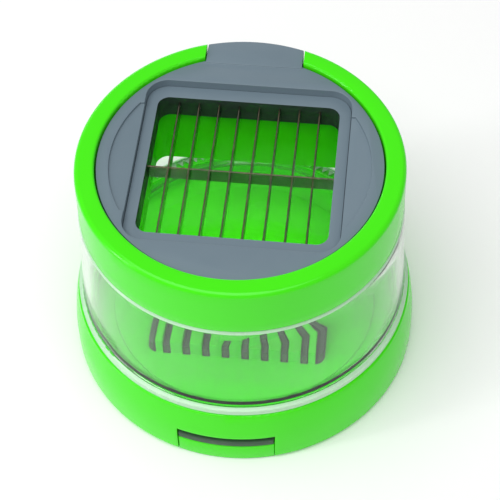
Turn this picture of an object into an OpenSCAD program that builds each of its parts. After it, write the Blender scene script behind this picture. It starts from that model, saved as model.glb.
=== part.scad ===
// Hand press vegetable dicer, stored upright: a clear container carries a collar with a lift-out
// blade carrier, and stands in its own press cap, whose pusher block faces up into the tower.
// Origin: centre of the flat underside. +Z is up, the carrier's finger tab points to +Y,
// the long blades run along Y. The widths grow outwards from the blade window, and the heights
// are stacked from the table up, so a piece moves or grows with the one it sits on.

/* [Blades] */
// Distance from one long blade to the next
blade_pitch = 5.05; // [4:0.05:6.1]
// Number of long blades
blade_n = 8; // [4:1:10]
// Thickness of a blade
blade_t = 0.4; // [0.3:0.05:0.6]
// Height of a blade strip
blade_h = 4.0; // [3:0.1:5]
// Depth of a blade's end in the frame
blade_seat = 1.2; // [0.8:0.1:1.5]
// Depth of the blades' upper edges below the top of their frame
blade_drop = 1.6; // [1:0.1:2.2]

/* [Blade frame] */
// Clear length of the window along the long blades
window_l = 42.6; // [34:0.1:52]
// Corner radius of the window
window_r = 3.0; // [2:0.1:5]
// Wall of the blade frame round the window
frame_wall = 2.0; // [1.8:0.1:2.4]
// Thickness of the frame's flange in the pocket
frame_lip_t = 1.4; // [1:0.1:1.8]
// Diameter of the pins that hold the retainer
pin_d = 1.4; // [1:0.1:1.6]

/* [Blade carrier] */
// Width of the pocket beyond the window on each side
pocket_margin_x = 2.9; // [2.6:0.1:4]
// Length of the pocket beyond the window at each end
pocket_margin_y = 3.8; // [2.8:0.1:5]
// Depth of the pocket below the top of the carrier
pocket_d = 3.6; // [3:0.1:4.3]
// Corner radius of the pocket
pocket_r = 5.5; // [4:0.1:8]
// Thickness of the carrier's floor under the pocket
pocket_floor_t = 0.9; // [0.7:0.1:2]
// Least width of the carrier's rim outside a pocket corner
carrier_rim = 1.05; // [0.8:0.05:3]
// How far the carrier's top lies below the collar's rim
carrier_drop = 1.0; // [0.8:0.1:1.6]
// Depth of the shallow recess beside the pocket
recess_d = 0.7; // [0.3:0.1:1]
// Length of the shallow recess along the blades
recess_l = 34.0; // [24:0.5:44]
// Rim of the carrier outside the shallow recess
recess_rim = 3.0; // [2:0.1:5]
// Wall and skin of the carrier, which is hollow underneath
carrier_wall = 1.6; // [1.2:0.1:2]

/* [Collar] */
// Width of the collar's top rim
rim_w = 4.9; // [3.5:0.1:6]
// Depth of the seat from the rim down to the web
seat_d = 5.8; // [5:0.1:7]
// Thickness of the web that the carrier rests on
web_t = 1.4; // [1:0.1:2]
// Wall of the collar's skirt round the neck
collar_wall = 1.8; // [1.4:0.1:2.4]
// How much wider the collar is at its lower edge than at its top, on the radius
collar_flare = 0.3; // [0:0.1:1]
// Length of the chute that hangs from the web, under the window
chute_h = 22.0; // [6:0.5:26]
// Wall of the chute
chute_t = 1.2; // [1:0.1:1.8]
// Width of the gap in the collar and of the notch in the cap
gap_w = 25.0; // [16:0.5:34]

/* [Container] */
// Height of the clear wall from flange to shoulder
sleeve_h = 32.5; // [24:0.5:60]
// Wall thickness of the container
wall_t = 2.0; // [1.4:0.1:2.6]
// Thickness of the container floor
floor_t = 1.8; // [1.2:0.1:2.6]
// How far the container's shoulder stands out past the collar
shoulder_step = 0.5; // [0.3:0.1:1]
// How much wider the container is at its foot than at its shoulder, on the radius
wall_flare = 1.7; // [0.5:0.1:4]
// Width of the foot flange outside the wall
flange_w = 1.1; // [0.8:0.1:2]
// Thickness of the foot flange
flange_t = 1.6; // [1.2:0.1:2.4]
// Height of the neck above the shoulder
neck_h = 6.7; // [5.5:0.1:9]
// Room between the chute and the neck that it hangs in
neck_clear = 0.5; // [0.4:0.1:2]
// Room between neck and collar for the bayonet lugs
lug_room = 1.5; // [1.3:0.1:2.2]
// Depth of the spigot that centres the container in the cap
spigot_h = 2.6; // [1.5:0.1:4]

/* [Press cap] */
// Play between the cap's skirt and the collar that it slips over
skirt_clear = 0.6; // [0.4:0.1:1.5]
// How far the cap's rim stands out past the container's flange
cap_rim_step = 0.5; // [0.3:0.1:1.5]
// How much wider the cap is low down than at its rim, on the radius
cap_bulge = 1.6; // [0.8:0.1:3]
// Wall of the cap below its deck
cap_wall = 2.8; // [2.2:0.1:3.4]
// Thickness of the deck
deck_t = 1.1; // [1:0.1:2]
// Rounding of the cap's bottom edge
cap_edge_r = 1.6; // [0.6:0.1:2.2]
// How far the skirt stands above the pusher's face
skirt_over = 2.4; // [1.5:0.1:6]

/* [Pusher] */
// Height of the round plate above the deck
plinth_h = 0.4; // [0.3:0.1:0.6]
// How far the pusher passes the blades' upper edges when pressed home
pusher_into = 0.3; // [0.1:0.1:0.8]
// Distance from the pusher block to the cross blade
cross_clear = 1.3; // [0.6:0.1:3]
// Width of each slot in the pusher block
slot_w = 2.0; // [1.6:0.1:2.4]

/* [Cleaning comb] */
// Height of the comb plate's underside above the table
comb_z = 6.6; // [5.6:0.1:9]
// Thickness of the comb plate and its tab
comb_t = 2.1; // [1.6:0.1:2.8]
// Lift of the comb when its tab is pressed
comb_travel = 1.3; // [0.8:0.1:1.6]
// How far the comb's fins stay below the pusher's face at rest
fin_drop = 1.7; // [1.7:0.1:2.4]

/* [Palm cover] */
// Thickness of the palm cover
cover_t = 2.0; // [1.4:0.1:2.6]
// Thickness of the cover's upright ring
cover_ring_t = 1.8; // [1.2:0.1:2.4]

/* [Hidden] */
$fn = 96;
eps = 0.01;
play = 0.3;                // clearance between pieces that move on each other
seat_play = 0.4;           // clearance between pieces that lift out of each other by hand
fit = 0.15;                // clearance all round a piece that is pressed into place
lime = [0.30, 0.86, 0.12];
slate = [0.42, 0.49, 0.53];
steel = [0.75, 0.76, 0.77];
clear = [0.85, 0.95, 0.87, 0.4];

// Window, frame and pocket, from the blades outwards
window_w = blade_pitch * (blade_n + 1) + 0.15;
body_w = window_w + 2 * frame_wall;
body_l = window_l + 2 * frame_wall;
pocket_w = window_w + 2 * pocket_margin_x;
pocket_l = window_l + 2 * pocket_margin_y;
chute_w = body_w + 2 * seat_play;
chute_l = body_l + 2 * seat_play;
chute_r = window_r + seat_play;
under_margin = 1.3;        // how far the floor under the pocket reaches past it
pin_offset = window_r + frame_wall * 0.7;
pin_x = window_w / 2 - window_r + pin_offset * cos(45);
pin_y = window_l / 2 - window_r + pin_offset * sin(45);

// Radii, from the pocket outwards
carrier_r = corner_reach(pocket_w, pocket_l, pocket_r) + carrier_rim;
seat_r = carrier_r + seat_play;
ledge_r = corner_reach(body_w, body_l, window_r) + seat_play;
collar_r = seat_r + rim_w;
collar_low_r = collar_r + collar_flare;
collar_in_r = collar_low_r - collar_wall;
neck_r = collar_in_r - lug_room;
neck_in_r = neck_r - wall_t;
shelf_r = neck_in_r - neck_clear;
waist_r = collar_low_r + shoulder_step - collar_flare;
foot_r = waist_r + wall_flare;
flange_r = foot_r + flange_w;
skirt_r = collar_low_r + skirt_clear;
cap_rim_r = flange_r + cap_rim_step;
cap_r = cap_rim_r + cap_bulge;
cavity_r = cap_r - cap_wall;
cover_r = cavity_r + 0.8;
comb_r = cavity_r - 0.5;
plate_r = seat_r - 0.5;
plate_low_r = plate_r - 1.6;

// Heights, from the table up
cover_z = 0.4;             // the cap's bottom ring stands this much lower than the palm cover
deck_under = comb_z + comb_t + comb_travel + play;
deck_z = deck_under + deck_t;
plinth_z = deck_z + plinth_h;
blade_depth = carrier_drop + pocket_d - frame_lip_t + blade_drop;
pusher_z = deck_z + blade_depth + pusher_into;
cap_h = pusher_z + skirt_over;
flange_z = cap_h + play;
sleeve_z = flange_z + flange_t;
shoulder_z = flange_z + sleeve_h;
neck_z = shoulder_z + neck_h;
collar_z = shoulder_z + seat_play;
seat_z = neck_z + seat_play + web_t;
rim_z = seat_z + seat_d;
under_z = seat_z + play;
carrier_z = rim_z - carrier_drop;
pocket_z = carrier_z - pocket_d;
floor_under = pocket_z - pocket_floor_t;
shelf_z = min(seat_z, floor_under - play);
frame_top = pocket_z + frame_lip_t;
blade_top = frame_top - blade_drop;
blade_mid = blade_top - blade_h / 2;
frame_bottom = blade_top - blade_h - 0.8;

// Pusher block, which covers one half of the window
pusher_w = window_w - 2 * play;
pusher_front = -window_l / 2 + play;
pusher_back = -blade_t / 2 - cross_clear;
pusher_l = pusher_back - pusher_front;
pusher_y = (pusher_front + pusher_back) / 2;
pusher_r = window_r - 0.4;

// Bayonet between neck and collar
lug_count = 3;
lug_angle = 16;
lug_h = 1.3;
lug_reach = lug_room - 0.5;
collar_lug_z = shoulder_z + 1.7;
neck_lug_z = collar_lug_z + lug_h + seat_play;

// ---- shared shapes ----

// Distance from the middle of a rounded rectangle to the outside of its corner
function corner_reach(w, l, r) = norm([w / 2 - r, l / 2 - r]) + r;

// Position of long blade i across the window
function blade_x(i) = (i - (blade_n + 1) / 2) * blade_pitch;

// Radius of the arc that goes up by rise while it comes in by inset
function side_arc_r(rise, inset) = (rise * rise + inset * inset) / (2 * inset);

// Flat rectangle with rounded corners, centred
module rounded_rect(w, l, r) {
    square([w - 2 * r, l], center = true);
    square([w, l - 2 * r], center = true);
    for (sx = [-1, 1], sy = [-1, 1])
        translate([sx * (w / 2 - r), sy * (l / 2 - r)]) circle(r);
}

// Rounded rectangle drawn up from z to z + h
module rounded_block(w, l, r, z, h) {
    translate([0, 0, z]) linear_extrude(h) rounded_rect(w, l, r);
}

// Sector of a ring between two radii, centred on the direction a
module ring_sector(r_in, r_out, z, h, a, sweep) {
    rotate([0, 0, a - sweep / 2]) rotate_extrude(angle = sweep)
        translate([r_in, z]) square([r_out - r_in, h]);
}

// One lug for each place of the bayonet
module lugs(r_in, r_out, z) {
    for (i = [0 : lug_count - 1])
        ring_sector(r_in, r_out, z, lug_h, 90 + i * 360 / lug_count, lug_angle);
}

// ---- collar ----

module collar_profile() {
    edge_r = 1.3;
    inner_edge_r = 0.6;
    web_z = seat_z - web_t;
    polygon([[shelf_r - web_t, web_z], [collar_in_r, web_z], [collar_in_r, collar_z],
             [collar_low_r, collar_z], [collar_r, rim_z - edge_r],
             [collar_r - edge_r, rim_z - edge_r], [collar_r - edge_r, rim_z],
             [seat_r + inner_edge_r, rim_z], [seat_r + inner_edge_r, rim_z - inner_edge_r],
             [seat_r, rim_z - inner_edge_r], [seat_r, seat_z], [shelf_r - web_t, seat_z]]);
    translate([collar_r - edge_r, rim_z - edge_r]) circle(edge_r);
    translate([seat_r + inner_edge_r, rim_z - inner_edge_r]) circle(inner_edge_r);
}

// Outline of the pocket's floor, wider by grow all round
module floor_block(r, z, h, grow) {
    margin = under_margin + grow;
    intersection() {
        rounded_block(pocket_w + 2 * margin, pocket_l + 2 * margin, pocket_r + margin, z, h);
        cylinder(r = r, h = rim_z);
    }
}

// Shelf inside the web, and the chute that hangs from it; both stay inside the neck
module shelf_and_chute() {
    intersection() {
        union() {
            translate([0, 0, shelf_z - web_t]) cylinder(r = shelf_r, h = seat_z - shelf_z + web_t);
            rounded_block(chute_w + 2 * chute_t, chute_l + 2 * chute_t, chute_r + chute_t,
                          seat_z - web_t - chute_h, chute_h + web_t / 2);
        }
        cylinder(r = shelf_r, h = rim_z);
    }
}

module collar() {
    color(lime) {
        difference() {
            union() {
                rotate_extrude() collar_profile();
                shelf_and_chute();
            }
            rounded_block(chute_w, chute_l, chute_r, 0, rim_z);
            floor_block(ledge_r, shelf_z, rim_z - shelf_z, seat_play);
            translate([-gap_w / 2, 0, seat_z]) cube([gap_w, collar_low_r + 1, rim_z - seat_z + 1]);
        }
        lugs(neck_r + seat_play, collar_in_r + 0.2, collar_lug_z);
    }
}

// ---- blade carrier: grey disc with its pocket, shallow side recesses and finger tab ----

module carrier_tab() {
    intersection() {
        translate([-gap_w / 2 + play, carrier_r - 3, under_z])
            cube([gap_w - 2 * play, collar_r - carrier_r + 4, carrier_z - under_z + play]);
        cylinder(r = collar_r - 0.1, h = rim_z);
    }
}

module blade_carrier() {
    color(slate) difference() {
        union() {
            difference() {
                translate([0, 0, under_z]) cylinder(r = carrier_r, h = carrier_z - under_z);
                floor_block(ledge_r - seat_play, 0, floor_under, 0);
            }
            carrier_tab();
            floor_block(ledge_r - seat_play, floor_under, carrier_z - floor_under, 0);
        }
        rounded_block(pocket_w, pocket_l, pocket_r, pocket_z, pocket_d + 1);
        rounded_block(body_w + 2 * fit, body_l + 2 * fit, window_r + fit,
                      floor_under - 1, pocket_z - floor_under + 2);
        intersection() {
            translate([0, 0, carrier_z - recess_d]) cylinder(r = carrier_r - recess_rim, h = 2);
            rounded_block(2 * carrier_r, recess_l, 4, carrier_z - recess_d, 2);
        }
        difference() {
            translate([0, 0, under_z - 1])
                cylinder(r = carrier_r - carrier_wall, h = carrier_z - carrier_wall - recess_d - under_z + 1);
            rounded_block(pocket_w + 2 * under_margin, pocket_l + 2 * under_margin,
                          pocket_r + under_margin, 0, rim_z);
        }
    }
}

// ---- blade frame, its retainer and pins ----

module frame_wall_ring(z, h) {
    difference() {
        rounded_block(body_w, body_l, window_r, z, h);
        rounded_block(window_w, window_l, window_r, z - 1, h + 2);
    }
}

// Room for every blade's end, over the height of the blade strips
module blade_slots() {
    long_l = window_l + 2 * blade_seat;
    cross_l = window_w + 2 * blade_seat;
    for (i = [1 : blade_n])
        translate([blade_x(i) - blade_t / 2, -long_l / 2, blade_top - blade_h])
            cube([blade_t, long_l, blade_h]);
    translate([-cross_l / 2, -blade_t / 2, blade_top - blade_h]) cube([cross_l, blade_t, blade_h]);
}

// The four pins, or their holes
module pins(z, h) {
    for (sx = [-1, 1], sy = [-1, 1])
        translate([sx * pin_x, sy * pin_y, z]) cylinder(d = pin_d, h = h);
}

module blade_frame() {
    color(slate) difference() {
        union() {
            frame_wall_ring(blade_mid, frame_top - blade_mid);
            difference() {
                rounded_block(pocket_w - 2 * fit, pocket_l - 2 * fit, pocket_r - fit, pocket_z, frame_lip_t);
                rounded_block(window_w, window_l, window_r, pocket_z - 1, frame_lip_t + 2);
            }
        }
        blade_slots();
        pins(blade_mid - 1, 2.5);
    }
}

module blade_retainer() {
    color(slate) difference() {
        frame_wall_ring(frame_bottom, blade_mid - frame_bottom);
        blade_slots();
        pins(frame_bottom - 1, blade_mid - frame_bottom + 2);
    }
}

module retainer_pins() {
    color(slate) pins(frame_bottom, blade_mid - frame_bottom + 1.5);
}

// ---- blades, notched half and half where they cross ----

module long_blade(i) {
    long_l = window_l + 2 * blade_seat;
    color(steel) translate([blade_x(i), 0, 0]) difference() {
        translate([-blade_t / 2, -long_l / 2, blade_top - blade_h]) cube([blade_t, long_l, blade_h]);
        translate([-1, -blade_t / 2, blade_mid]) cube([2, blade_t, blade_h]);
    }
}

module cross_blade() {
    cross_l = window_w + 2 * blade_seat;
    color(steel) difference() {
        translate([-cross_l / 2, -blade_t / 2, blade_top - blade_h]) cube([cross_l, blade_t, blade_h]);
        for (i = [1 : blade_n])
            translate([blade_x(i) - blade_t / 2, -1, blade_mid - blade_h]) cube([blade_t, 2, blade_h]);
    }
}

// ---- clear container ----

module container_profile() {
    shoulder_r = 0.8;
    spigot_r = skirt_r - play;
    difference() {
        union() {
            polygon([[0, flange_z], [spigot_r - wall_t, flange_z],
                     [spigot_r - wall_t, flange_z - spigot_h], [spigot_r, flange_z - spigot_h],
                     [spigot_r, flange_z], [flange_r, flange_z], [flange_r, sleeve_z],
                     [foot_r, sleeve_z + flange_w], [waist_r, shoulder_z - shoulder_r],
                     [waist_r - shoulder_r, shoulder_z], [neck_r, shoulder_z], [neck_r, neck_z],
                     [neck_in_r, neck_z], [neck_in_r, shoulder_z],
                     [waist_r - wall_t, shoulder_z - wall_t - 0.6],
                     [foot_r - wall_t, flange_z + floor_t + 1.2],
                     [foot_r - wall_t - 1.2, flange_z + floor_t], [0, flange_z + floor_t]]);
            translate([waist_r - shoulder_r, shoulder_z - shoulder_r]) circle(shoulder_r);
        }
        translate([flange_r, sleeve_z + flange_w]) circle(flange_w);
    }
}

module container() {
    color(clear) {
        rotate_extrude() container_profile();
        lugs(neck_r - 0.2, neck_r + lug_reach, neck_lug_z);
    }
}

// ---- press cap: shell with its skirt, and a deck ring that carries the pusher plate ----

module cap_profile() {
    lip_r = 0.6;
    wide_z = 4.5;
    side_r = side_arc_r(cap_h - lip_r - wide_z, cap_r - cap_rim_r);
    edge_x = cap_r - cap_edge_r;
    seat_top = cover_z + cover_t;
    rebate_z = deck_under + deck_t / 2;
    // inside of the cap and its deck
    polygon([[plate_low_r + fit, deck_under], [cavity_r, deck_under], [cavity_r, seat_top],
             [cover_r, seat_top], [cover_r, 0], [edge_x, 0], [edge_x, deck_z],
             [plate_r + fit, deck_z], [plate_r + fit, rebate_z], [plate_low_r + fit, rebate_z]]);
    // rounded bottom edge
    intersection() {
        translate([edge_x, cap_edge_r]) circle(cap_edge_r);
        translate([edge_x, 0]) square([cap_edge_r, cap_edge_r]);
    }
    translate([edge_x - 0.2, cap_edge_r]) square([cap_edge_r + 0.2, wide_z - cap_edge_r]);
    // convex side, and the skirt above the deck
    intersection() {
        translate([cap_r - side_r, wide_z]) circle(side_r, $fn = 360);
        union() {
            translate([edge_x - 0.2, wide_z]) square([cap_r, deck_z - wide_z]);
            translate([skirt_r, deck_z - eps]) square([cap_r, cap_h - lip_r - deck_z + eps]);
        }
    }
    // rounded rim
    translate([skirt_r, cap_h - lip_r]) square([cap_rim_r - lip_r - skirt_r, lip_r]);
    intersection() {
        translate([cap_rim_r - lip_r, cap_h - lip_r]) circle(lip_r);
        translate([cap_rim_r - lip_r, cap_h - lip_r]) square(lip_r);
    }
}

module press_cap() {
    color(lime) difference() {
        rotate_extrude() cap_profile();
        // notch through the wall for the comb's tab and the cover's tongue
        intersection() {
            translate([-gap_w / 2, -cap_r - 1, -1]) cube([gap_w, cap_wall + 4, deck_under + 1]);
            difference() {
                translate([0, 0, -1]) cylinder(r = cap_r + 1, h = cap_h);
                translate([0, 0, -2]) cylinder(r = cavity_r - 0.2, h = cap_h + 2);
            }
        }
    }
}

// ---- pusher plate: round plate in the deck, with the slotted block that meets the blades ----

// Slots for the comb: one over each long blade, and one at each end
module comb_slots() {
    slot_l = pusher_l + 2;
    for (i = [1 : blade_n])
        translate([blade_x(i) - slot_w / 2, pusher_y - slot_l / 2, 0]) cube([slot_w, slot_l, cap_h]);
    for (s = [0, 1]) mirror([s, 0, 0])
        translate([pusher_w / 2 - slot_w, pusher_y - slot_l / 2, 0]) cube([slot_w + 1, slot_l, cap_h]);
}

module pusher_plate() {
    color(lime) difference() {
        union() {
            translate([0, 0, deck_under]) cylinder(r = plate_low_r, h = deck_t / 2);
            translate([0, 0, deck_under + deck_t / 2]) cylinder(r = plate_r, h = deck_t / 2 + plinth_h);
            translate([0, pusher_y, 0])
                rounded_block(pusher_w, pusher_l, pusher_r, deck_z, pusher_z - deck_z);
        }
        intersection() {
            comb_slots();
            translate([0, pusher_y, 0])
                rounded_block(pusher_w + 2 * play, pusher_l + 2 * play, pusher_r + play, 0, cap_h);
        }
    }
}

// ---- cleaning comb: plate with a tab in the notch, and fins in the pusher's slots ----

module comb_fins() {
    fin_w = slot_w - 2 * play;
    top = pusher_z - fin_drop;
    base = comb_z + comb_t - eps;
    intersection() {
        translate([0, pusher_y, 0]) rounded_block(pusher_w, pusher_l, pusher_r, base, top - base);
        union() {
            for (i = [1 : blade_n])
                translate([blade_x(i) - fin_w / 2, -window_l / 2, 0]) cube([fin_w, window_l, cap_h]);
            for (s = [0, 1]) mirror([s, 0, 0])
                translate([pusher_w / 2 - fin_w, -window_l / 2, 0]) cube([fin_w, window_l, cap_h]);
        }
    }
}

// Part of a disc that fills the notch
module notch_filler(r, w, z, h) {
    intersection() {
        translate([0, 0, z]) cylinder(r = r, h = h);
        translate([-w / 2, -cap_r, z]) cube([w, cap_r / 2, h]);
    }
}

module cleaning_comb() {
    color(slate) {
        translate([0, 0, comb_z]) cylinder(r = comb_r, h = comb_t);
        notch_filler(cap_r - 0.3, gap_w - 2 * play, comb_z, comb_t);
        comb_fins();
    }
}

// ---- palm cover: closes the cap, its tongue fills the notch below the tab ----

module palm_cover() {
    ring_r = cavity_r - play;
    ring_h = comb_z - play - cover_z;
    color(lime) difference() {
        union() {
            translate([0, 0, cover_z]) cylinder(r = cover_r - 0.05, h = cover_t);
            translate([0, 0, cover_z]) cylinder(r = ring_r, h = ring_h);
            notch_filler(cap_r - 0.3, gap_w - 2 * fit, cover_z, ring_h);
        }
        translate([0, 0, cover_z + cover_t]) cylinder(r = ring_r - cover_ring_t, h = ring_h);
    }
}

collar();
blade_carrier();
blade_frame();
blade_retainer();
retainer_pins();
long_blade(1);  // long_blade_1
long_blade(2);  // long_blade_2
long_blade(3);  // long_blade_3
long_blade(4);  // long_blade_4
long_blade(5);  // long_blade_5
long_blade(6);  // long_blade_6
long_blade(7);  // long_blade_7
long_blade(8);  // long_blade_8
cross_blade();
container();
press_cap();
pusher_plate();
cleaning_comb();
palm_cover();
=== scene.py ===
"""Looks of the hand press dicer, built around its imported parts.

The clear container stands in the green press cap and carries the green collar, whose grey blade
carrier lifts out. Every length is in metres, in the frame of the parts: +Z up, origin under the
middle of the cap, the carrier's finger tab towards +Y.
"""

import logging
import math
from dataclasses import dataclass, field
from enum import Enum

import bpy
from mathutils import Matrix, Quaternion, Vector


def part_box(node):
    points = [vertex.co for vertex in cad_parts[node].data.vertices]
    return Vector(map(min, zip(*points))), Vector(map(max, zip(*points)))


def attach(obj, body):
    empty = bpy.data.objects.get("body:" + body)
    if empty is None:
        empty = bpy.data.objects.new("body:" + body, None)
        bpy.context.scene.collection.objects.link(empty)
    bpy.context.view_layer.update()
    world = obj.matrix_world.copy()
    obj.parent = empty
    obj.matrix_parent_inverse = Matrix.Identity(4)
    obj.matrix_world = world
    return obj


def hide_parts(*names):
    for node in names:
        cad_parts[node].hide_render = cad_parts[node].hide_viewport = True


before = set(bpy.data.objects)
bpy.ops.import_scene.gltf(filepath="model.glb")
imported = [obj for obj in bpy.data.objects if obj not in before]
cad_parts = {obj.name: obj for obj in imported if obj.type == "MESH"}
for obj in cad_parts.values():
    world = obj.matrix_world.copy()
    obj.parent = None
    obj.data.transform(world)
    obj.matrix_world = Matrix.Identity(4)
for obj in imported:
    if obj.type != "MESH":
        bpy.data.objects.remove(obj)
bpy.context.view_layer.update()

MM = 0.001
MERGE_DISTANCE = 0.002 * MM
FLAT_ANGLE = math.radians(0.2)
CORNER_ANGLE = math.radians(40)
TOUCH = 0.01 * MM
LOG = logging.getLogger("dicer")


class Slot(Enum):
    """Names for the material slots."""

    GREEN = "green_plastic"
    GREY = "grey_plastic"
    CLEAR = "clear_plastic"
    STEEL = "blade_steel"


class Body(Enum):
    """The bodies that the pieces ride on."""

    CAP = "cap"
    COMB = "comb"
    TOWER = "tower"
    COLLAR = "collar"
    CARRIER = "carrier"


Colour = tuple[float, float, float]
Point = tuple[float, float, float]
Ring = tuple[float, float, float]
Socket = bpy.types.NodeSocket


# ---- shader building ----


@dataclass
class ShaderTree:
    """A node tree with short calls for adding and joining nodes."""

    tree: bpy.types.NodeTree

    def add(self, kind: str, inputs: dict | None = None, **settings: object) -> bpy.types.Node:
        """Adds a node.

        Args:
            kind: The node's type name.
            inputs: Input name or number to a value, or to a socket that feeds it.
            **settings: Properties of the node.

        Returns:
            The new node.
        """
        made = self.tree.nodes.new(kind)
        for name, value in settings.items():
            setattr(made, name, value)
        for name, value in (inputs or {}).items():
            if isinstance(value, bpy.types.NodeSocket):
                self.tree.links.new(value, made.inputs[name])
            else:
                made.inputs[name].default_value = value
        return made

    def maths(self, operation: str, first: Socket | float, second: Socket | float = 0.0,
              clamp: bool = False) -> Socket:
        """Adds a Math node and returns its result.

        Args:
            operation: The Math node's operation.
            first: Value or socket.
            second: Value or socket.
            clamp: True to keep the result from 0 to 1.

        Returns:
            The result socket.
        """
        return self.add("ShaderNodeMath", {0: first, 1: second}, operation=operation,
                        use_clamp=clamp).outputs[0]

    def span(self, value: Socket, low: float, high: float, new_low: float, new_high: float) -> Socket:
        """Maps a value from one range onto another, held at the ends.

        Args:
            value: Socket to map.
            low: Start of the old range.
            high: End of the old range.
            new_low: Start of the new range.
            new_high: End of the new range.

        Returns:
            The result socket.
        """
        return self.add("ShaderNodeMapRange", {"Value": value, "From Min": low, "From Max": high,
                                               "To Min": new_low, "To Max": new_high}).outputs[0]

    def mix(self, share: Socket | float, first: Socket | Colour, second: Socket | Colour) -> Socket:
        """Mixes two colours.

        Args:
            share: How much of the second, a value or socket.
            first: Colour or socket.
            second: Colour or socket.

        Returns:
            The result socket.
        """
        made = self.add("ShaderNodeMix", {0: share, 6: rgba(first), 7: rgba(second)}, data_type="RGBA")
        return made.outputs[2]


def rgba(value: Socket | Colour) -> Socket | tuple[float, ...]:
    """A colour with its alpha, or the socket as it is."""
    return value if isinstance(value, bpy.types.NodeSocket) else (*value, 1.0)


def new_group(name: str, inputs: dict[str, tuple[str, object]],
              outputs: dict[str, str]) -> tuple[ShaderTree, bpy.types.Node, bpy.types.Node]:
    """Starts a shader node group.

    Args:
        name: The group's name.
        inputs: Input name to its socket type and default.
        outputs: Output name to its socket type.

    Returns:
        The group's ShaderTree, its input node and its output node.
    """
    tree = bpy.data.node_groups.new(name, "ShaderNodeTree")
    for label, (kind, default) in inputs.items():
        socket = tree.interface.new_socket(name=label, in_out="INPUT", socket_type=kind)
        socket.default_value = default
    for label, kind in outputs.items():
        tree.interface.new_socket(name=label, in_out="OUTPUT", socket_type=kind)
    return ShaderTree(tree), tree.nodes.new("NodeGroupInput"), tree.nodes.new("NodeGroupOutput")


def moulded_group() -> bpy.types.NodeTree:
    """Makes the surface of a moulding: faint colour drift, sink-mark waviness and a fine grain.

    Returns:
        The node group, with the outputs Colour, Roughness and Height.
    """
    t, given, out = new_group(
        "moulded_surface",
        {"Colour": ("NodeSocketColor", (0.5, 0.5, 0.5, 1.0)), "Drift": ("NodeSocketFloat", 0.05),
         "Roughness": ("NodeSocketFloat", 0.3), "Grain Size": ("NodeSocketFloat", 900.0),
         "Grain": ("NodeSocketFloat", 0.3)},
        {"Colour": "NodeSocketColor", "Roughness": "NodeSocketFloat", "Height": "NodeSocketFloat"})
    place = t.add("ShaderNodeTexCoord").outputs["Object"]
    cloud = t.add("ShaderNodeTexNoise", {"Vector": place, "Scale": 38.0, "Detail": 3.0}).outputs[0]
    grain = t.add("ShaderNodeTexNoise", {"Vector": place, "Scale": given.outputs["Grain Size"],
                                         "Detail": 4.0, "Roughness": 0.65}).outputs[0]
    smudge = t.add("ShaderNodeTexNoise", {"Vector": place, "Scale": 120.0, "Detail": 5.0,
                                          "Distortion": 0.8}).outputs[0]
    shift = t.maths("MULTIPLY", t.maths("SUBTRACT", cloud, 0.5), given.outputs["Drift"])
    lit = t.add("ShaderNodeHueSaturation", {"Value": t.maths("ADD", 1.0, shift),
                                            "Color": given.outputs["Colour"]}).outputs[0]
    rough = t.maths("MULTIPLY", given.outputs["Roughness"], t.span(smudge, 0.35, 0.7, 0.85, 1.25))
    t.tree.links.new(lit, out.inputs["Colour"])
    t.tree.links.new(rough, out.inputs["Roughness"])
    t.tree.links.new(t.maths("ADD", t.maths("MULTIPLY", grain, given.outputs["Grain"]),
                             t.maths("MULTIPLY", cloud, 0.6)), out.inputs["Height"])
    return t.tree


def wear_and_glint_group() -> bpy.types.NodeTree:
    """Makes a mask that is 1 where the surface turns sharply: rubbed edges on most finishes, a painted
    highlight on the container's pale rims.

    Returns:
        The node group, with the output Mask.
    """
    t, given, out = new_group(
        "edge_wear_and_glint",
        {"Width": ("NodeSocketFloat", 0.0003), "Amount": ("NodeSocketFloat", 0.5)},
        {"Mask": "NodeSocketFloat"})
    soft = t.add("ShaderNodeBevel", {"Radius": given.outputs["Width"]}, samples=4).outputs[0]
    true = t.add("ShaderNodeNewGeometry").outputs["Normal"]
    facing = t.add("ShaderNodeVectorMath", {0: soft, 1: true}, operation="DOT_PRODUCT").outputs["Value"]
    place = t.add("ShaderNodeTexCoord").outputs["Object"]
    broken = t.add("ShaderNodeTexNoise", {"Vector": place, "Scale": 700.0, "Detail": 3.0}).outputs[0]
    edge = t.span(facing, 0.75, 0.99, 1.0, 0.0)
    mask = t.maths("MULTIPLY", t.maths("MULTIPLY", edge, t.span(broken, 0.35, 0.65, 0.2, 1.0)),
                   given.outputs["Amount"], clamp=True)
    t.tree.links.new(mask, out.inputs["Mask"])
    return t.tree


MOULDED = moulded_group()
WEAR_AND_GLINT = wear_and_glint_group()


def new_material(name: str) -> tuple[bpy.types.Material, ShaderTree, bpy.types.Node]:
    """Starts a material with only its output.

    Args:
        name: The material's name.

    Returns:
        The material, its ShaderTree and its output node.
    """
    made = bpy.data.materials.new(name)
    made.use_nodes = True
    made.node_tree.nodes.clear()
    tree = ShaderTree(made.node_tree)
    return made, tree, tree.add("ShaderNodeOutputMaterial")


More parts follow.
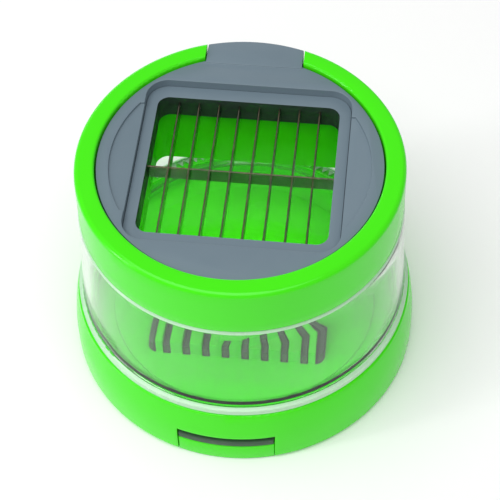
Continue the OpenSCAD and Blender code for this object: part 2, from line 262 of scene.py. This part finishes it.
@dataclass(frozen=True)
class PlasticFinish:
    """An opaque moulded plastic."""

    name: str
    colour: Colour
    roughness: float
    drift: float
    grain: float
    grain_size: float
    bump: float
    wear_and_glint: Colour
    wear: float
    shine: float = 0.5

    def material(self) -> bpy.types.Material:
        """Makes the material and returns it."""
        made, t, out = new_material(self.name)
        skin = t.add("ShaderNodeGroup", node_tree=MOULDED)
        skin.inputs["Colour"].default_value = rgba(self.colour)
        skin.inputs["Drift"].default_value = self.drift
        skin.inputs["Roughness"].default_value = self.roughness
        skin.inputs["Grain Size"].default_value = self.grain_size
        skin.inputs["Grain"].default_value = self.grain
        # Edge tint: rubbed wear on most finishes; on the container's pale rim finish it is a brighter
        # painted highlight.
        wear = t.add("ShaderNodeGroup", node_tree=WEAR_AND_GLINT)
        wear.inputs["Amount"].default_value = self.wear
        colour = t.mix(wear.outputs["Mask"], skin.outputs["Colour"], self.wear_and_glint)
        bump = t.add("ShaderNodeBump", {"Height": skin.outputs["Height"], "Strength": self.bump,
                                        "Distance": 0.1 * MM})
        shader = t.add("ShaderNodeBsdfPrincipled",
                       {"Base Color": colour, "Roughness": skin.outputs["Roughness"],
                        "Normal": bump.outputs[0], "IOR": 1.5, "Specular IOR Level": self.shine})
        t.tree.links.new(shader.outputs[0], out.inputs["Surface"])
        return made


@dataclass(frozen=True)
class ClearFinish:
    """A clear moulded plastic that lets lamps through to what is behind it."""

    name: str
    tint: Colour
    roughness: float
    ior: float

    def material(self) -> bpy.types.Material:
        """Makes the material and returns it."""
        made, t, out = new_material(self.name)
        place = t.add("ShaderNodeTexCoord").outputs["Object"]
        flow = t.add("ShaderNodeTexNoise", {"Vector": place, "Scale": 60.0, "Detail": 2.0}).outputs[0]
        bump = t.add("ShaderNodeBump", {"Height": flow, "Strength": 0.08, "Distance": 0.2 * MM})
        rough = t.span(flow, 0.3, 0.7, self.roughness * 0.6, self.roughness * 1.6)
        glass = t.add("ShaderNodeBsdfPrincipled",
                      {"Base Color": rgba(self.tint), "Roughness": rough, "IOR": self.ior,
                       "Transmission Weight": 1.0, "Normal": bump.outputs[0]})
        lamp = t.add("ShaderNodeLightPath").outputs["Is Shadow Ray"]
        open_way = t.add("ShaderNodeBsdfTransparent", {"Color": rgba(self.tint)})
        mixed = t.add("ShaderNodeMixShader", {0: lamp, 1: glass.outputs[0], 2: open_way.outputs[0]})
        t.tree.links.new(mixed.outputs[0], out.inputs["Surface"])
        return made


@dataclass(frozen=True)
class SteelFinish:
    """Thin rolled blade steel with a ground upper edge that has taken a tan stain."""

    name: str
    colour: Colour
    stain: Colour
    roughness: float
    edge_band: float

    def material(self, top: float) -> bpy.types.Material:
        """Makes the material.

        Args:
            top: Height of the blades' upper edges.

        Returns:
            The material.
        """
        made, t, out = new_material(self.name)
        place = t.add("ShaderNodeTexCoord").outputs["Object"]
        height = t.add("ShaderNodeSeparateXYZ", {0: place}).outputs["Z"]
        drawn = t.add("ShaderNodeMapping", {"Vector": place, "Scale": (1.0, 0.04, 1.0)}).outputs[0]
        lines = t.add("ShaderNodeTexNoise", {"Vector": drawn, "Scale": 4200.0, "Detail": 4.0}).outputs[0]
        cloud = t.add("ShaderNodeTexNoise", {"Vector": place, "Scale": 160.0, "Detail": 3.0}).outputs[0]
        ground = t.span(height, top - 1.6 * self.edge_band, top - self.edge_band, 0.0, 1.0)
        patchy = t.maths("MULTIPLY", ground, t.span(cloud, 0.3, 0.6, 0.35, 1.0))
        faint = t.span(cloud, 0.5, 0.75, 0.0, 0.3)
        colour = t.mix(t.maths("MAXIMUM", patchy, faint), self.colour, self.stain)
        rough = t.span(lines, 0.3, 0.7, self.roughness * 0.8, self.roughness * 1.4)
        bump = t.add("ShaderNodeBump", {"Height": lines, "Strength": 0.1, "Distance": 0.02 * MM})
        shader = t.add("ShaderNodeBsdfPrincipled",
                       {"Base Color": colour, "Metallic": 1.0, "Roughness": rough,
                        "Normal": bump.outputs[0]})
        t.tree.links.new(shader.outputs[0], out.inputs["Surface"])
        return made


LIME = PlasticFinish("lime_gloss", (0.060, 0.80, 0.004), 0.22, 0.06, 0.15, 1500.0, 0.12,
                     (0.17, 0.86, 0.03), 0.3, shine=0.3)
SLATE = PlasticFinish("slate_satin", (0.150, 0.205, 0.245), 0.42, 0.08, 0.5, 2200.0, 0.35,
                      (0.30, 0.37, 0.42), 0.35, shine=0.4)
CLEAR = ClearFinish("clear_styrene", (0.95, 0.99, 0.955), 0.03, 1.38)
# Painted highlight: a pale opaque plastic, paler still on its edges, standing in for the bright lines
# that light draws on the clear container's rims.
CLEAR_PAINTED_HIGHLIGHT = PlasticFinish("clear_painted_highlight", (0.50, 0.76, 0.52), 0.25, 0.12, 0.2, 1400.0, 0.2,
                           (0.86, 0.95, 0.87), 0.6)
# Painted shade: a much darker copy of the grey plastic, for the carrier window's inner walls and the
# retainer under them.
SLATE_PAINTED_SHADE = PlasticFinish("slate_painted_shade", (0.022, 0.042, 0.030), 0.5, 0.08, 0.5, 2200.0, 0.35,
                           (0.06, 0.09, 0.07), 0.3, shine=0.3)
COMB_SLATE = PlasticFinish("comb_slate", (0.040, 0.085, 0.048), 0.45, 0.08, 0.5, 2200.0, 0.3,
                           (0.14, 0.22, 0.16), 0.3, shine=0.3)
STEEL = SteelFinish("blade_steel", (0.20, 0.22, 0.20), (0.30, 0.25, 0.17), 0.24, 0.25 * MM)


def wear_only(piece: bpy.types.Object, material: bpy.types.Material) -> None:
    """Gives a piece one material and no other.

    Args:
        piece: The object to dress.
        material: Its material.
    """
    piece.data.materials.clear()
    piece.data.materials.append(material)


# ---- pieces ----


@dataclass
class SubAssembly:
    """Pieces that ride on one body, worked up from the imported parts."""

    body: Body
    smooth: float = math.radians(32)

    def blank(self, node: str, whole_faces: bool = True) -> bpy.types.Object:
        """Copies a part's mesh as the blank for a finished piece.

        Args:
            node: The part's name.
            whole_faces: True to join the triangles of each flat face.

        Returns:
            The merged copy.
        """
        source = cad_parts[node]
        made = bpy.data.objects.new(node + "_finished", source.data.copy())
        made.data.materials.clear()
        bpy.context.scene.collection.objects.link(made)
        bpy.ops.object.select_all(action="DESELECT")
        made.select_set(True)
        bpy.context.view_layer.objects.active = made
        bpy.ops.object.mode_set(mode="EDIT")
        bpy.ops.mesh.select_all(action="SELECT")
        bpy.ops.mesh.remove_doubles(threshold=MERGE_DISTANCE)
        if whole_faces:
            bpy.ops.mesh.dissolve_limited(angle_limit=FLAT_ANGLE)
        bpy.ops.mesh.normals_make_consistent(inside=False)
        bpy.ops.object.mode_set(mode="OBJECT")
        bpy.ops.mesh.customdata_custom_splitnormals_clear()
        return made

    def fillet(self, piece: bpy.types.Object, width: float, segments: int = 3) -> None:
        """Rounds a piece's sharp edges and smooths what is left.

        Args:
            piece: The piece.
            width: Width of the rounding.
            segments: Faces across the rounding.
        """
        bpy.ops.object.select_all(action="DESELECT")
        piece.select_set(True)
        bpy.context.view_layer.objects.active = piece
        rounding = piece.modifiers.new("fillet", "BEVEL")
        rounding.width = width
        rounding.segments = segments
        rounding.limit_method = "ANGLE"
        rounding.angle_limit = CORNER_ANGLE
        rounding.use_clamp_overlap = True
        bpy.ops.object.modifier_apply(modifier=rounding.name)
        bpy.ops.object.shade_smooth_by_angle(angle=self.smooth)

    def dress(self, piece: bpy.types.Object, node: str, slot: Slot, material: bpy.types.Material) -> None:
        """Gives a piece its material and its place in the assembly.

        Args:
            piece: The finished piece.
            node: The part that it stands for.
            slot: Not used.
            material: Its material.
        """
        wear_only(piece, material)
        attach(piece, self.body.value)
        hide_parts(node)
        LOG.info("%s: %d faces on %s", piece.name, len(piece.data.polygons), self.body.value)

    def keep(self, node: str, material: bpy.types.Material) -> None:
        """Dresses a part that shows as it was packed.

        Args:
            node: The part's name.
            material: Its material.
        """
        wear_only(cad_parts[node], material)
        LOG.info("%s: as packed, on %s", node, self.body.value)


@dataclass
class Collar(SubAssembly):
    """Green collar with its gap, web and chute."""

    body: Body = Body.COLLAR
    edge: float = 0.22 * MM

    def build(self, lime: bpy.types.Material) -> None:
        """Builds and dresses the collar.

        Args:
            lime: The green plastic.
        """
        piece = self.blank("collar")
        self.fillet(piece, self.edge)
        self.dress(piece, "collar", Slot.GREEN, lime)


@dataclass
class Carrier(SubAssembly):
    """Grey lift-out carrier with its blade frame, retainer, pins and blades, with painted shade on the
    window's inner walls and on the retainer.
    """

    body: Body = Body.CARRIER
    edge: float = 0.25 * MM
    frame_edge: float = 0.12 * MM
    grind: float = 0.14 * MM
    blade_seat: float = 1.2 * MM
    wall_skin: float = 0.1 * MM
    shortest_edge: float = 1.0 * MM
    blade_count: int = 8

    def build(self, slate: bpy.types.Material, painted_shade_slate: bpy.types.Material,
              steel: bpy.types.Material) -> None:
        """Builds and dresses the carrier.

        Args:
            slate: The grey plastic.
            painted_shade_slate: A much darker copy of the grey plastic, painted shade for the window's
                inner walls and the retainer.
            steel: The blade steel.
        """
        for node, width in (("blade_carrier", self.edge), ("blade_frame", self.frame_edge)):
            piece = self.blank(node)
            self.fillet(piece, width)
            self.dress(piece, node, Slot.GREY, slate)
        # Painted shade: the upright faces round the window take the darker copy of the grey plastic.
        piece.data.materials.append(painted_shade_slate)
        half_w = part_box("cross_blade")[1][0] - self.blade_seat
        half_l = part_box("long_blade_1")[1][1] - self.blade_seat
        for face in piece.data.polygons:
            x, y, _ = face.center
            inside = abs(x) < half_w + self.wall_skin and abs(y) < half_l + self.wall_skin
            face.material_index = int(inside and abs(face.normal.z) < 0.5)
        # Painted shade: the retainer under the carrier takes the darker copy as well.
        self.keep("blade_retainer", painted_shade_slate)
        self.keep("retainer_pins", slate)
        for number in range(1, self.blade_count + 1):
            self.blade("long_blade_%d" % number, steel)
        self.blade("cross_blade", steel)

    def blade(self, node: str, steel: bpy.types.Material) -> None:
        """Grinds a blade's upper edges to a slope and dresses it.

        Args:
            node: The blade's name.
            steel: The blade steel.
        """
        piece = self.blank(node)
        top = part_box(node)[1][2]
        bpy.ops.object.mode_set(mode="EDIT")
        bpy.ops.mesh.select_all(action="DESELECT")
        bpy.ops.mesh.select_mode(type="EDGE")
        bpy.ops.object.mode_set(mode="OBJECT")
        points = piece.data.vertices
        for edge in piece.data.edges:
            a, b = (points[i].co for i in edge.vertices)
            run = max(abs(a.x - b.x), abs(a.y - b.y))
            edge.select = min(a.z, b.z) > top - TOUCH and run > self.shortest_edge
        bpy.ops.object.mode_set(mode="EDIT")
        bpy.ops.mesh.bevel(offset=self.grind, offset_type="WIDTH", segments=1, affect="EDGES")
        bpy.ops.object.mode_set(mode="OBJECT")
        self.dress(piece, node, Slot.STEEL, steel)


@dataclass
class Container(SubAssembly):
    """Clear container that catches the dice, with a painted highlight: its flange and shoulder rims take
    a pale opaque plastic.
    """

    body: Body = Body.TOWER
    flange_ring: Ring = (20.0 * MM, 1.3 * MM, 41.9 * MM)
    shoulder_ring: Ring = (51.3 * MM, 0.55 * MM, 37.5 * MM)

    def build(self, clear: bpy.types.Material, edge: bpy.types.Material) -> None:
        """Builds and dresses the container.

        Args:
            clear: The clear plastic.
            edge: Painted highlight: the pale opaque plastic for its flange and shoulder rims.
        """
        piece = self.blank("container", whole_faces=False)
        bpy.ops.object.shade_smooth_by_angle(angle=self.smooth)
        self.dress(piece, "container", Slot.CLEAR, clear)
        piece.data.materials.append(edge)
        # Painted highlight: faces on the flange and shoulder rims take the pale opaque plastic.
        for face in piece.data.polygons:
            face.material_index = int(self.has_painted_highlight(face.center))

    def has_painted_highlight(self, place: Vector) -> bool:
        """Tells whether a place is on the rim of the flange or of the shoulder, where the highlight is
        painted.

        Args:
            place: The place.

        Returns:
            True if it is.
        """
        radius = math.hypot(place.x, place.y)
        return any(abs(place.z - middle) < half and radius > inner
                   for middle, half, inner in (self.flange_ring, self.shoulder_ring))


@dataclass
class PressCap(SubAssembly):
    """Green press cap with its pusher plate and palm cover."""

    body: Body = Body.CAP
    edge: float = 0.25 * MM
    pusher_edge: float = 0.2 * MM

    def build(self, lime: bpy.types.Material) -> None:
        """Builds and dresses the cap.

        Args:
            lime: The green plastic.
        """
        for node, width in (("press_cap", self.edge), ("pusher_plate", self.pusher_edge),
                            ("palm_cover", self.edge)):
            piece = self.blank(node)
            self.fillet(piece, width)
            self.dress(piece, node, Slot.GREEN, lime)


@dataclass
class CleaningComb(SubAssembly):
    """Grey comb whose tab shows in the cap's notch."""

    body: Body = Body.COMB
    edge: float = 0.18 * MM

    def build(self, slate: bpy.types.Material) -> None:
        """Builds and dresses the comb.

        Args:
            slate: The grey plastic.
        """
        piece = self.blank("cleaning_comb")
        self.fillet(piece, self.edge)
        self.dress(piece, "cleaning_comb", Slot.GREY, slate)


# ---- studio ----


@dataclass
class Studio:
    """Camera, lamps, floor and surroundings."""

    aim: Vector = field(default_factory=lambda: Vector((1.85, 0.23, 29.44)) * MM)
    distance: float = 392.4 * MM
    azimuth: float = math.radians(7.245)
    elevation: float = math.radians(53.503)
    roll: float = math.radians(-1.475)
    lens: float = 108.96
    floor_size: float = 6.0

    def camera(self) -> None:
        """Sets the camera on its arc round the aim point, tilted by the roll."""
        back = Vector((math.sin(self.azimuth) * math.cos(self.elevation),
                       -math.cos(self.azimuth) * math.cos(self.elevation),
                       math.sin(self.elevation)))
        data = bpy.data.cameras.new("camera")
        data.lens = self.lens
        data.sensor_width = 36.0
        data.clip_start = 0.01
        made = bpy.data.objects.new("camera", data)
        made.location = self.aim + back * self.distance
        made.rotation_mode = "QUATERNION"
        made.rotation_quaternion = (-back).to_track_quat("-Z", "Y") @ Quaternion((0, 0, 1), self.roll)
        bpy.context.scene.collection.objects.link(made)
        bpy.context.scene.camera = made

    def lamp(self, name: str, place: Point, aim: Point, size: tuple[float, float], power: float) -> None:
        """Adds a soft rectangular lamp.

        Args:
            name: The lamp's name.
            place: Where it hangs.
            aim: What it points at.
            size: Its width and height.
            power: Its power in watts.
        """
        data = bpy.data.lights.new(name, "AREA")
        data.shape = "RECTANGLE"
        data.size, data.size_y = size
        data.energy = power
        made = bpy.data.objects.new(name, data)
        made.location = place
        made.rotation_mode = "QUATERNION"
        made.rotation_quaternion = (Vector(aim) - Vector(place)).to_track_quat("-Z", "Y")
        bpy.context.scene.collection.objects.link(made)

    def lamps(self) -> None:
        """Hangs a wide soft box overhead, a low one behind and a narrow one at the left."""
        self.lamp("soft_top", (-0.15, -0.3, 1.1), (0, 0, 0.03), (1.2, 0.9), 10.5)
        self.lamp("soft_back", (-0.3, 0.9, 0.28), (0, 0, 0.05), (0.9, 0.15), 1.2)
        self.lamp("strip_left", (-0.7, -0.3, 0.3), (0, 0, 0.04), (0.08, 0.5), 1.4)

    def surroundings(self) -> None:
        """Lights everything evenly from all sides and lays the floor."""
        scene = bpy.context.scene
        scene.view_settings.view_transform = "Standard"
        world = bpy.data.worlds.new("studio")
        world.use_nodes = True
        world.node_tree.nodes["Background"].inputs[0].default_value = (1.0, 1.0, 1.0, 1.0)
        world.node_tree.nodes["Background"].inputs[1].default_value = 0.38
        scene.world = world
        bpy.ops.object.select_all(action="DESELECT")
        bpy.ops.mesh.primitive_plane_add(size=self.floor_size)
        floor = bpy.context.object
        floor.name = "floor"
        made, t, out = new_material("floor_white")
        place = t.add("ShaderNodeTexCoord").outputs["Object"]
        cloud = t.add("ShaderNodeTexNoise", {"Vector": place, "Scale": 6.0}).outputs[0]
        shader = t.add("ShaderNodeBsdfPrincipled",
                       {"Base Color": rgba((0.97, 0.97, 0.97)),
                        "Roughness": t.span(cloud, 0.3, 0.7, 0.8, 0.9)})
        t.tree.links.new(shader.outputs[0], out.inputs["Surface"])
        wear_only(floor, made)

    def build(self) -> None:
        """Builds the whole studio."""
        self.camera()
        self.lamps()
        self.surroundings()


def main() -> None:
    """Builds the studio and the dicer, sub-assembly by sub-assembly, from the top down."""
    Studio().build()
    lime, slate, comb_slate = (finish.material() for finish in (LIME, SLATE, COMB_SLATE))
    clear, clear_painted_highlight, painted_shade_slate = CLEAR.material(), CLEAR_PAINTED_HIGHLIGHT.material(), SLATE_PAINTED_SHADE.material()
    steel = STEEL.material(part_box("cross_blade")[1][2])
    Collar().build(lime)
    Carrier().build(slate, painted_shade_slate, steel)
    Container().build(clear, clear_painted_highlight)
    PressCap().build(lime)
    CleaningComb().build(comb_slate)


if __name__ == "__main__":
    logging.basicConfig(level=logging.INFO)
    main()
